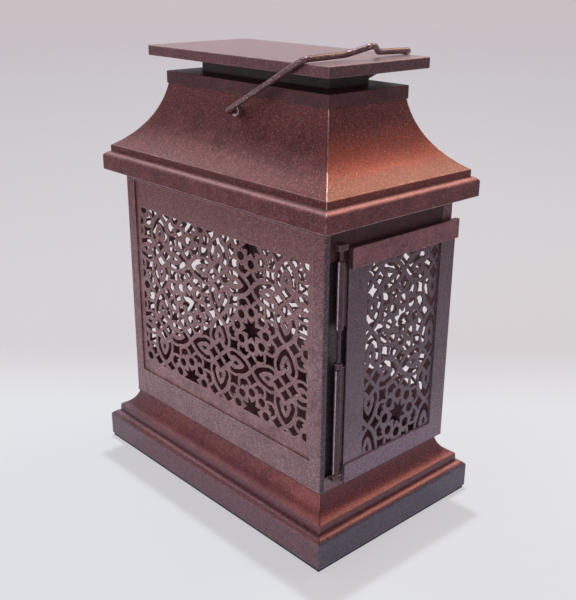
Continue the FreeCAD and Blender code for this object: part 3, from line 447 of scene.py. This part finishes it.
def folded_sheet(corners):
    """Closed section of a folded sheet: the eased outer line, then the inner line back."""
    return np.vstack([eased(corners), inner_line(corners)[::-1]])


def around(section, turn_steps=4):
    """Carry a section (out, height) round the body's rectangle. At angle a of a corner's quarter
    turn the point is (side centre) + r (cos a, sin a), with r the corner radius, or less where
    the rectangle is narrower. Rows go round, columns follow the section."""
    out = section[:, 0]
    r = np.minimum(SOFT_CORNER, HALF_WIDTH + out)
    quarter = np.linspace(0, math.pi / 2, turn_steps + 1)
    angle = (np.arange(4)[:, None] * math.pi / 2 + quarter).ravel()[:, None]
    side_x = np.repeat([1, -1, -1, 1], turn_steps + 1)[:, None]
    side_y = np.repeat([1, 1, -1, -1], turn_steps + 1)[:, None]
    x = side_x * (HALF_LENGTH + out - r) + r * np.cos(angle)
    y = side_y * (HALF_WIDTH + out - r) + r * np.sin(angle)
    return np.stack([x, y, np.broadcast_to(section[:, 1], x.shape)], axis=-1)


def grid_piece(name, grid, closed=(True, True)):
    """A mesh from a grid of points, closed along rows or columns as told, with its doubles merged,
    its faces turned outwards and its sharp edges kept."""
    rows, columns = grid.shape[:2]
    index = np.arange(rows * columns).reshape(rows, columns)
    across = np.vstack([index, index[:1]]) if closed[0] else index
    both = np.hstack([across, across[:, :1]]) if closed[1] else across
    quads = np.stack([both[:-1, :-1], both[1:, :-1], both[1:, 1:], both[:-1, 1:]], axis=-1)
    mesh = bpy.data.meshes.new(name)
    mesh.from_pydata(grid.reshape(-1, 3).tolist(), [], quads.reshape(-1, 4).tolist())
    shape = bmesh.new()
    shape.from_mesh(mesh)
    bmesh.ops.remove_doubles(shape, verts=shape.verts, dist=MERGE_REACH)
    bmesh.ops.dissolve_degenerate(shape, edges=shape.edges, dist=SLIVER)
    bmesh.ops.recalc_face_normals(shape, faces=shape.faces)
    shape.to_mesh(mesh)
    shape.free()
    mesh.shade_smooth()
    mesh.set_sharp_from_angle(angle=SHARP_ANGLE)
    piece = bpy.data.objects.new(name, mesh)
    bpy.context.scene.collection.objects.link(piece)
    weighted = piece.modifiers.new("even_faces", "WEIGHTED_NORMAL")
    weighted.keep_sharp = True
    return piece


def dress(piece, body, slot, *nodes, paint=None):
    """Give a piece its paint, the slot's unless another is given, hang it on its body and hide the
    solid nodes that it stands for.
    """
    piece.data.materials.append((paint or PAINTS[slot]).material)
    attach(piece, body)
    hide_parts(*nodes)


def level(node):
    """Lowest and highest point of a solid node."""
    low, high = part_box(node)
    return low[2], high[2]


# Base: the plinth with its flange, sloped shoulder and tread, and the cove with a lip at its foot.
PLINTH_FOOT = 12.0 * MM
PLINTH_ROUND = 1.5 * MM
PLINTH_SHOULDER = 2.8 * MM
PLINTH_SLOPE = 4.9 * MM
PLINTH_TREAD = 6.5 * MM
PLINTH_FLANGE = 10.0 * MM
plinth_low, plinth_top = level("base_plinth")
PLINTH_OUT = PLINTH_FOOT + PLINTH_ROUND
PLINTH_BACK = PLINTH_OUT - PLINTH_SLOPE
plinth = grid_piece("pressed_plinth", around(folded_sheet([
    (PLINTH_FOOT - PLINTH_FLANGE, plinth_low, 0),
    (PLINTH_FOOT, plinth_low, QUARTER_SAG),
    (PLINTH_OUT, plinth_low + PLINTH_ROUND, 0),
    (PLINTH_OUT, plinth_top - PLINTH_SHOULDER, SHOULDER_SAG),
    (PLINTH_BACK, plinth_top, 0),
    (PLINTH_BACK - PLINTH_TREAD, plinth_top, 0)])))
dress(plinth, "lantern", "base_paint", "base_plinth")

COVE_FOOT = 8.6 * MM
COVE_LIP_HEIGHT = 5.0 * MM
COVE_LIP_DRAFT = 0.2 * MM
COVE_TOP_INSET = 1.2 * MM
cove_low, cove_top = level("base_cove")
cove = grid_piece("hollow_cove", around(folded_sheet([
    (COVE_FOOT, cove_low, LIP_SAG),
    (COVE_FOOT - COVE_LIP_DRAFT, cove_low + COVE_LIP_HEIGHT, COVE_SAG),
    (-COVE_TOP_INSET, cove_top, 0)])))
dress(cove, "lantern", "base_paint", "base_cove")

# Eave: a channel with a sloped top that stands out round the top of the body.
EAVE_OUT = 9.5 * MM
EAVE_SHOULDER = 2.4 * MM
EAVE_SLOPE = 3.9 * MM
EAVE_LAP = 3.0 * MM
eave_low, eave_top = level("eave_moulding")
eave = grid_piece("eave_channel", around(folded_sheet([
    (-EAVE_LAP, eave_low, 0),
    (EAVE_OUT, eave_low, 0),
    (EAVE_OUT, eave_top - EAVE_SHOULDER, SHOULDER_SAG),
    (EAVE_OUT - EAVE_SLOPE, eave_top, 0),
    (-EAVE_LAP, eave_top, 0)])))
dress(eave, "lantern", "roof_paint", "eave_moulding", paint=eave_with_painted_highlight)

# Collar: a low box on the roof, turned in under the vent neck.
COLLAR_OUT = -19.9 * MM
COLLAR_WINDOW = -36.3 * MM
collar_low, collar_top = level("roof_collar")
collar = grid_piece("roof_box", around(folded_sheet([
    (COLLAR_OUT, collar_low, 0),
    (COLLAR_OUT, collar_top, 0),
    (COLLAR_WINDOW, collar_top, 0)])))
dress(collar, "lantern", "roof_paint", "roof_collar", paint=shaded_collar)

# Top plate: a lid with a turned-down rim. Its section starts and ends on the middle line.
PLATE_OUT = -12.6 * MM
plate_low, plate_top = level("top_plate")
plate_line = [
    (-HALF_WIDTH, plate_top - WALL, 0),
    (PLATE_OUT - WALL, plate_top - WALL, 0),
    (PLATE_OUT - WALL, plate_low, 0),
    (PLATE_OUT, plate_low, 0),
    (PLATE_OUT, plate_top, 0),
    (-HALF_WIDTH, plate_top, 0)]
plate = grid_piece("vent_lid", around(eased(plate_line)), closed=(True, False))
dress(plate, "lantern", "plate_paint", "top_plate")


def bent(points, bends, turn_steps=10):
    """A line through corners, each turned by an arc of its own radius: with half the inner angle
    h, the arc starts r / tan(h) from the corner and its centre is r / sin(h) away. Along its
    sweep e, the point at share s is (sin((1-s) e) first + sin(s e) last) / sin(e)."""
    corner = np.array(points, dtype=float)
    radius = np.array(bends, dtype=float)[:, None]
    inward = corner[:-2] - corner[1:-1]
    onward = corner[2:] - corner[1:-1]
    inward /= np.linalg.norm(inward, axis=1, keepdims=True)
    onward /= np.linalg.norm(onward, axis=1, keepdims=True)
    half = np.arccos(np.clip((inward * onward).sum(axis=1), -1, 1))[:, None] / 2
    middle = (inward + onward) / np.linalg.norm(inward + onward, axis=1, keepdims=True)
    centre = corner[1:-1] + middle * radius / np.sin(half)
    first = (corner[1:-1] + inward * radius / np.tan(half) - centre)[:, None]
    last = (corner[1:-1] + onward * radius / np.tan(half) - centre)[:, None]
    sweep = (math.pi - 2 * half)[:, None]
    share = np.linspace(0, 1, turn_steps)[None, :, None]
    arc = (np.sin((1 - share) * sweep) * first + np.sin(share * sweep) * last) / np.sin(sweep)
    arcs = (centre[:, None] + arc).reshape(-1, 2)
    return np.vstack([corner[:1], arcs, corner[-1:]])


def rod(line, radius, round_steps=20, dome_steps=5):
    """A round rod along a flat line: at each point the ring is r cos a across the line in its plane
    and r sin a out of it. Both ends are domed, r falling as the cosine of the dome's angle."""
    along = np.gradient(line, axis=0)
    along /= np.linalg.norm(along, axis=1, keepdims=True)
    dome = np.linspace(math.pi / 2, 0, dome_steps + 1)[:-1, None]
    start = line[:1] - along[:1] * radius * (np.sin(dome) - 1)
    end = line[-1:] + along[-1:] * radius * (np.sin(dome) - 1)
    spine = np.vstack([start, line[1:-1], end[::-1]])
    ways = np.vstack([np.repeat(along[:1], dome_steps, axis=0), along[1:-1],
                      np.repeat(along[-1:], dome_steps, axis=0)])
    size = np.concatenate([np.cos(dome[:, 0]), np.ones(len(line) - 2), np.cos(dome[::-1, 0])]) * radius
    angle = np.linspace(0, 2 * math.pi, round_steps, endpoint=False)
    across = np.stack([-ways[:, 1], ways[:, 0]], axis=-1)
    flat = spine[:, None] + across[:, None] * (size[:, None] * np.cos(angle))[..., None]
    lift = size[:, None] * np.sin(angle)
    return np.concatenate([flat, lift[..., None]], axis=-1)


# Bail: one rod, bent flat, then turned up about its pivots to where it rests on the plate's edge.
ROD_RADIUS = 1.6 * MM
BAIL_ARM = 67.8 * MM
BAIL_GRIP = BAIL_ARM + 1.8 * MM
BAIL_HALF = 39.95 * MM
BAIL_END = 27.2 * MM
HUMP_FOOT = 11.75 * MM
HUMP_RISE = 9.5 * MM
END_BEND = 3.0 * MM
ARM_BEND = 4.5 * MM
HUMP_BEND = 8.0 * MM
PEAK_BEND = 4.5 * MM
PIVOT_HEIGHT = 230.3 * MM
REST_ANGLE = math.radians(28.163)
bail_route = [(0, BAIL_END), (0, BAIL_HALF), (BAIL_ARM, BAIL_HALF), (BAIL_GRIP, HUMP_FOOT),
              (BAIL_GRIP + HUMP_RISE, 0),
              (BAIL_GRIP, -HUMP_FOOT), (BAIL_ARM, -BAIL_HALF), (0, -BAIL_HALF), (0, -BAIL_END)]
bail_bends = [END_BEND, ARM_BEND, HUMP_BEND, PEAK_BEND, HUMP_BEND, ARM_BEND, END_BEND]
flat_rod = rod(bent(bail_route, bail_bends), ROD_RADIUS)
away, sideways, lift = flat_rod[..., 0], flat_rod[..., 1], flat_rod[..., 2]
bail_grid = np.stack([
    away * math.cos(REST_ANGLE) - lift * math.sin(REST_ANGLE),
    sideways,
    away * math.sin(REST_ANGLE) + lift * math.cos(REST_ANGLE) + PIVOT_HEIGHT], axis=-1)
bail = grid_piece("bail_rod", bail_grid, closed=(False, True))
dress(bail, "bail", "bail_paint", "bail_handle")


# Camera, as the photograph was taken.
AZIMUTH = math.radians(47.40)
ELEVATION = math.radians(20.61)
ROLL = math.radians(0.41)
DISTANCE = 0.5475
TARGET = Vector((0.0070, 0.0, 0.1139))
FOCAL_PIXELS = 901.0
FRAME_PIXELS = (576, 600)
FILM = 36.0
NEAREST = 0.01


def photograph_camera():
    """A camera at its distance from the target. With azimuth a counted from -Y and elevation e, it
    stands on the side (sin a cos e, -cos a cos e, sin e), and it is rolled about that way."""
    back = Vector((math.sin(AZIMUTH) * math.cos(ELEVATION),
                   -math.cos(AZIMUTH) * math.cos(ELEVATION), math.sin(ELEVATION)))
    right = Vector((math.cos(AZIMUTH), math.sin(AZIMUTH), 0.0))
    up = back.cross(right)
    turned_right = right * math.cos(ROLL) + up * math.sin(ROLL)
    turned_up = up * math.cos(ROLL) - right * math.sin(ROLL)
    data = bpy.data.cameras.new("camera")
    data.sensor_fit = "AUTO"
    data.sensor_width = FILM
    data.lens = FOCAL_PIXELS / max(FRAME_PIXELS) * FILM
    data.clip_start = NEAREST
    camera = bpy.data.objects.new("camera", data)
    spot = TARGET + back * DISTANCE
    camera.matrix_world = Matrix((
        (turned_right.x, turned_up.x, back.x, spot.x),
        (turned_right.y, turned_up.y, back.y, spot.y),
        (turned_right.z, turned_up.z, back.z, spot.z),
        (0, 0, 0, 1)))
    bpy.context.scene.collection.objects.link(camera)
    bpy.context.scene.camera = camera


photograph_camera()


# The room's light by the height of the way: pale low down and darker overhead.
ROOM_STOPS = [(0.42, rgb(0.60, 0.55, 0.58)), (0.72, rgb(0.17, 0.16, 0.17))]


def world_light():
    """A studio room, seen by every ray."""
    world = bpy.data.worlds.new("studio")
    world.use_nodes = True
    bpy.context.scene.world = world
    tree = world.node_tree
    tree.nodes.clear()
    way = tree.nodes.new("ShaderNodeTexCoord")
    parts = tree.nodes.new("ShaderNodeSeparateXYZ")
    tree.links.new(way.outputs["Generated"], parts.inputs["Vector"])
    room = tree.nodes.new("ShaderNodeValToRGB")
    for element, (height, colour) in zip(room.color_ramp.elements, ROOM_STOPS):
        element.position = height
        element.color = colour
    tree.links.new(parts.outputs["Z"], room.inputs["Fac"])
    ambient = tree.nodes.new("ShaderNodeBackground")
    tree.links.new(room.outputs["Color"], ambient.inputs["Color"])
    output = tree.nodes.new("ShaderNodeOutputWorld")
    tree.links.new(ambient.outputs["Background"], output.inputs["Surface"])


world_light()


# A small bright lamp high overhead casts the shadow. A warm one behind and a white one to the left
# are caught by the sweeps, and a wide weak one fills the front.
WHITE = (1.0, 1.0, 1.0)
WARM = (1.0, 0.65, 0.45)
MIDDLE = Vector((0, 0, 0.12))


def square_light(name, spot, side, watts, colour):
    """A square lamp at a spot, aimed at the middle of the lantern."""
    data = bpy.data.lights.new(name, "AREA")
    data.shape = "SQUARE"
    data.size = side
    data.energy = watts
    data.color = colour
    lamp = bpy.data.objects.new(name, data)
    lamp.location = spot
    lamp.rotation_euler = (MIDDLE - Vector(spot)).to_track_quat("-Z", "Y").to_euler()
    bpy.context.scene.collection.objects.link(lamp)


square_light("overhead_light", (-0.28, 0.25, 2.80), side=0.08, watts=66.0, colour=WHITE)
square_light("back_light", (0.12, 0.70, 0.95), side=0.45, watts=5.2, colour=WARM)
square_light("left_light", (-0.75, -0.10, 0.95), side=0.45, watts=2.2, colour=WHITE)
square_light("front_light", (-0.20, -1.25, 0.45), side=0.80, watts=5.5, colour=WHITE)


# The floor's glow by the distance in metres behind the lantern, along the photograph's way: cool
# beside the lantern, a little darker and warmer beyond it, and paler far off. In front of the
# lantern a share of the distance counts. Mirrors and the eye see the whole glow, and a share of it
# lights other surfaces.
FLOOR_HALF = 40.0
FLOOR_COLOUR = rgb(0.17, 0.20, 0.21)
FRONT_SHARE = 0.3
GLOW_FAR = 5.0
GLOW_STOPS = [(0.08, rgb(0.506, 0.488, 0.517)), (0.18, rgb(0.404, 0.342, 0.362)),
              (0.60, rgb(0.396, 0.344, 0.366)), (2.0, rgb(0.475, 0.420, 0.452)),
              (GLOW_FAR, rgb(0.540, 0.468, 0.486))]
GLOW_ON_OTHERS = 0.4


def floor():
    """A wide dull plane, lifted by its glow so that the far part stays pale."""
    corners = [(side_x * FLOOR_HALF, side_y * FLOOR_HALF, 0)
               for side_x, side_y in ((-1, -1), (1, -1), (1, 1), (-1, 1))]
    mesh = bpy.data.meshes.new("floor")
    mesh.from_pydata(corners, [], [(0, 1, 2, 3)])
    obj = bpy.data.objects.new("floor", mesh)
    bpy.context.scene.collection.objects.link(obj)
    finish = Finish("pale_floor")
    along = finish.add("ShaderNodeVectorMath", operation="DOT_PRODUCT")
    finish.join(finish.place, along.inputs[0])
    along.inputs[1].default_value = (-math.sin(AZIMUTH), math.cos(AZIMUTH), 0.0)
    behind = along.outputs["Value"]
    distance = finish.sums("MAXIMUM", behind, finish.sums("MULTIPLY", behind, -FRONT_SHARE))
    glow = finish.ramp(finish.sums("DIVIDE", distance, GLOW_FAR),
                       [(at / GLOW_FAR, colour) for at, colour in GLOW_STOPS])
    path = finish.add("ShaderNodeLightPath")
    seen = path.outputs["Is Camera Ray"]
    for other in ("Is Glossy Ray", "Is Transmission Ray"):
        seen = finish.sums("MAXIMUM", seen, path.outputs[other])
    seen = finish.sums("MAXIMUM", seen, GLOW_ON_OTHERS)
    finish.feed(finish.shader.inputs["Base Color"], FLOOR_COLOUR)
    finish.feed(finish.shader.inputs["Roughness"], 1.0)
    finish.feed(finish.shader.inputs["Specular IOR Level"], 0.0)
    finish.feed(finish.shader.inputs["Emission Color"], glow)
    finish.feed(finish.shader.inputs["Emission Strength"], seen)
    mesh.materials.append(finish.material)


floor()
bpy.context.scene.view_settings.view_transform = "Standard"
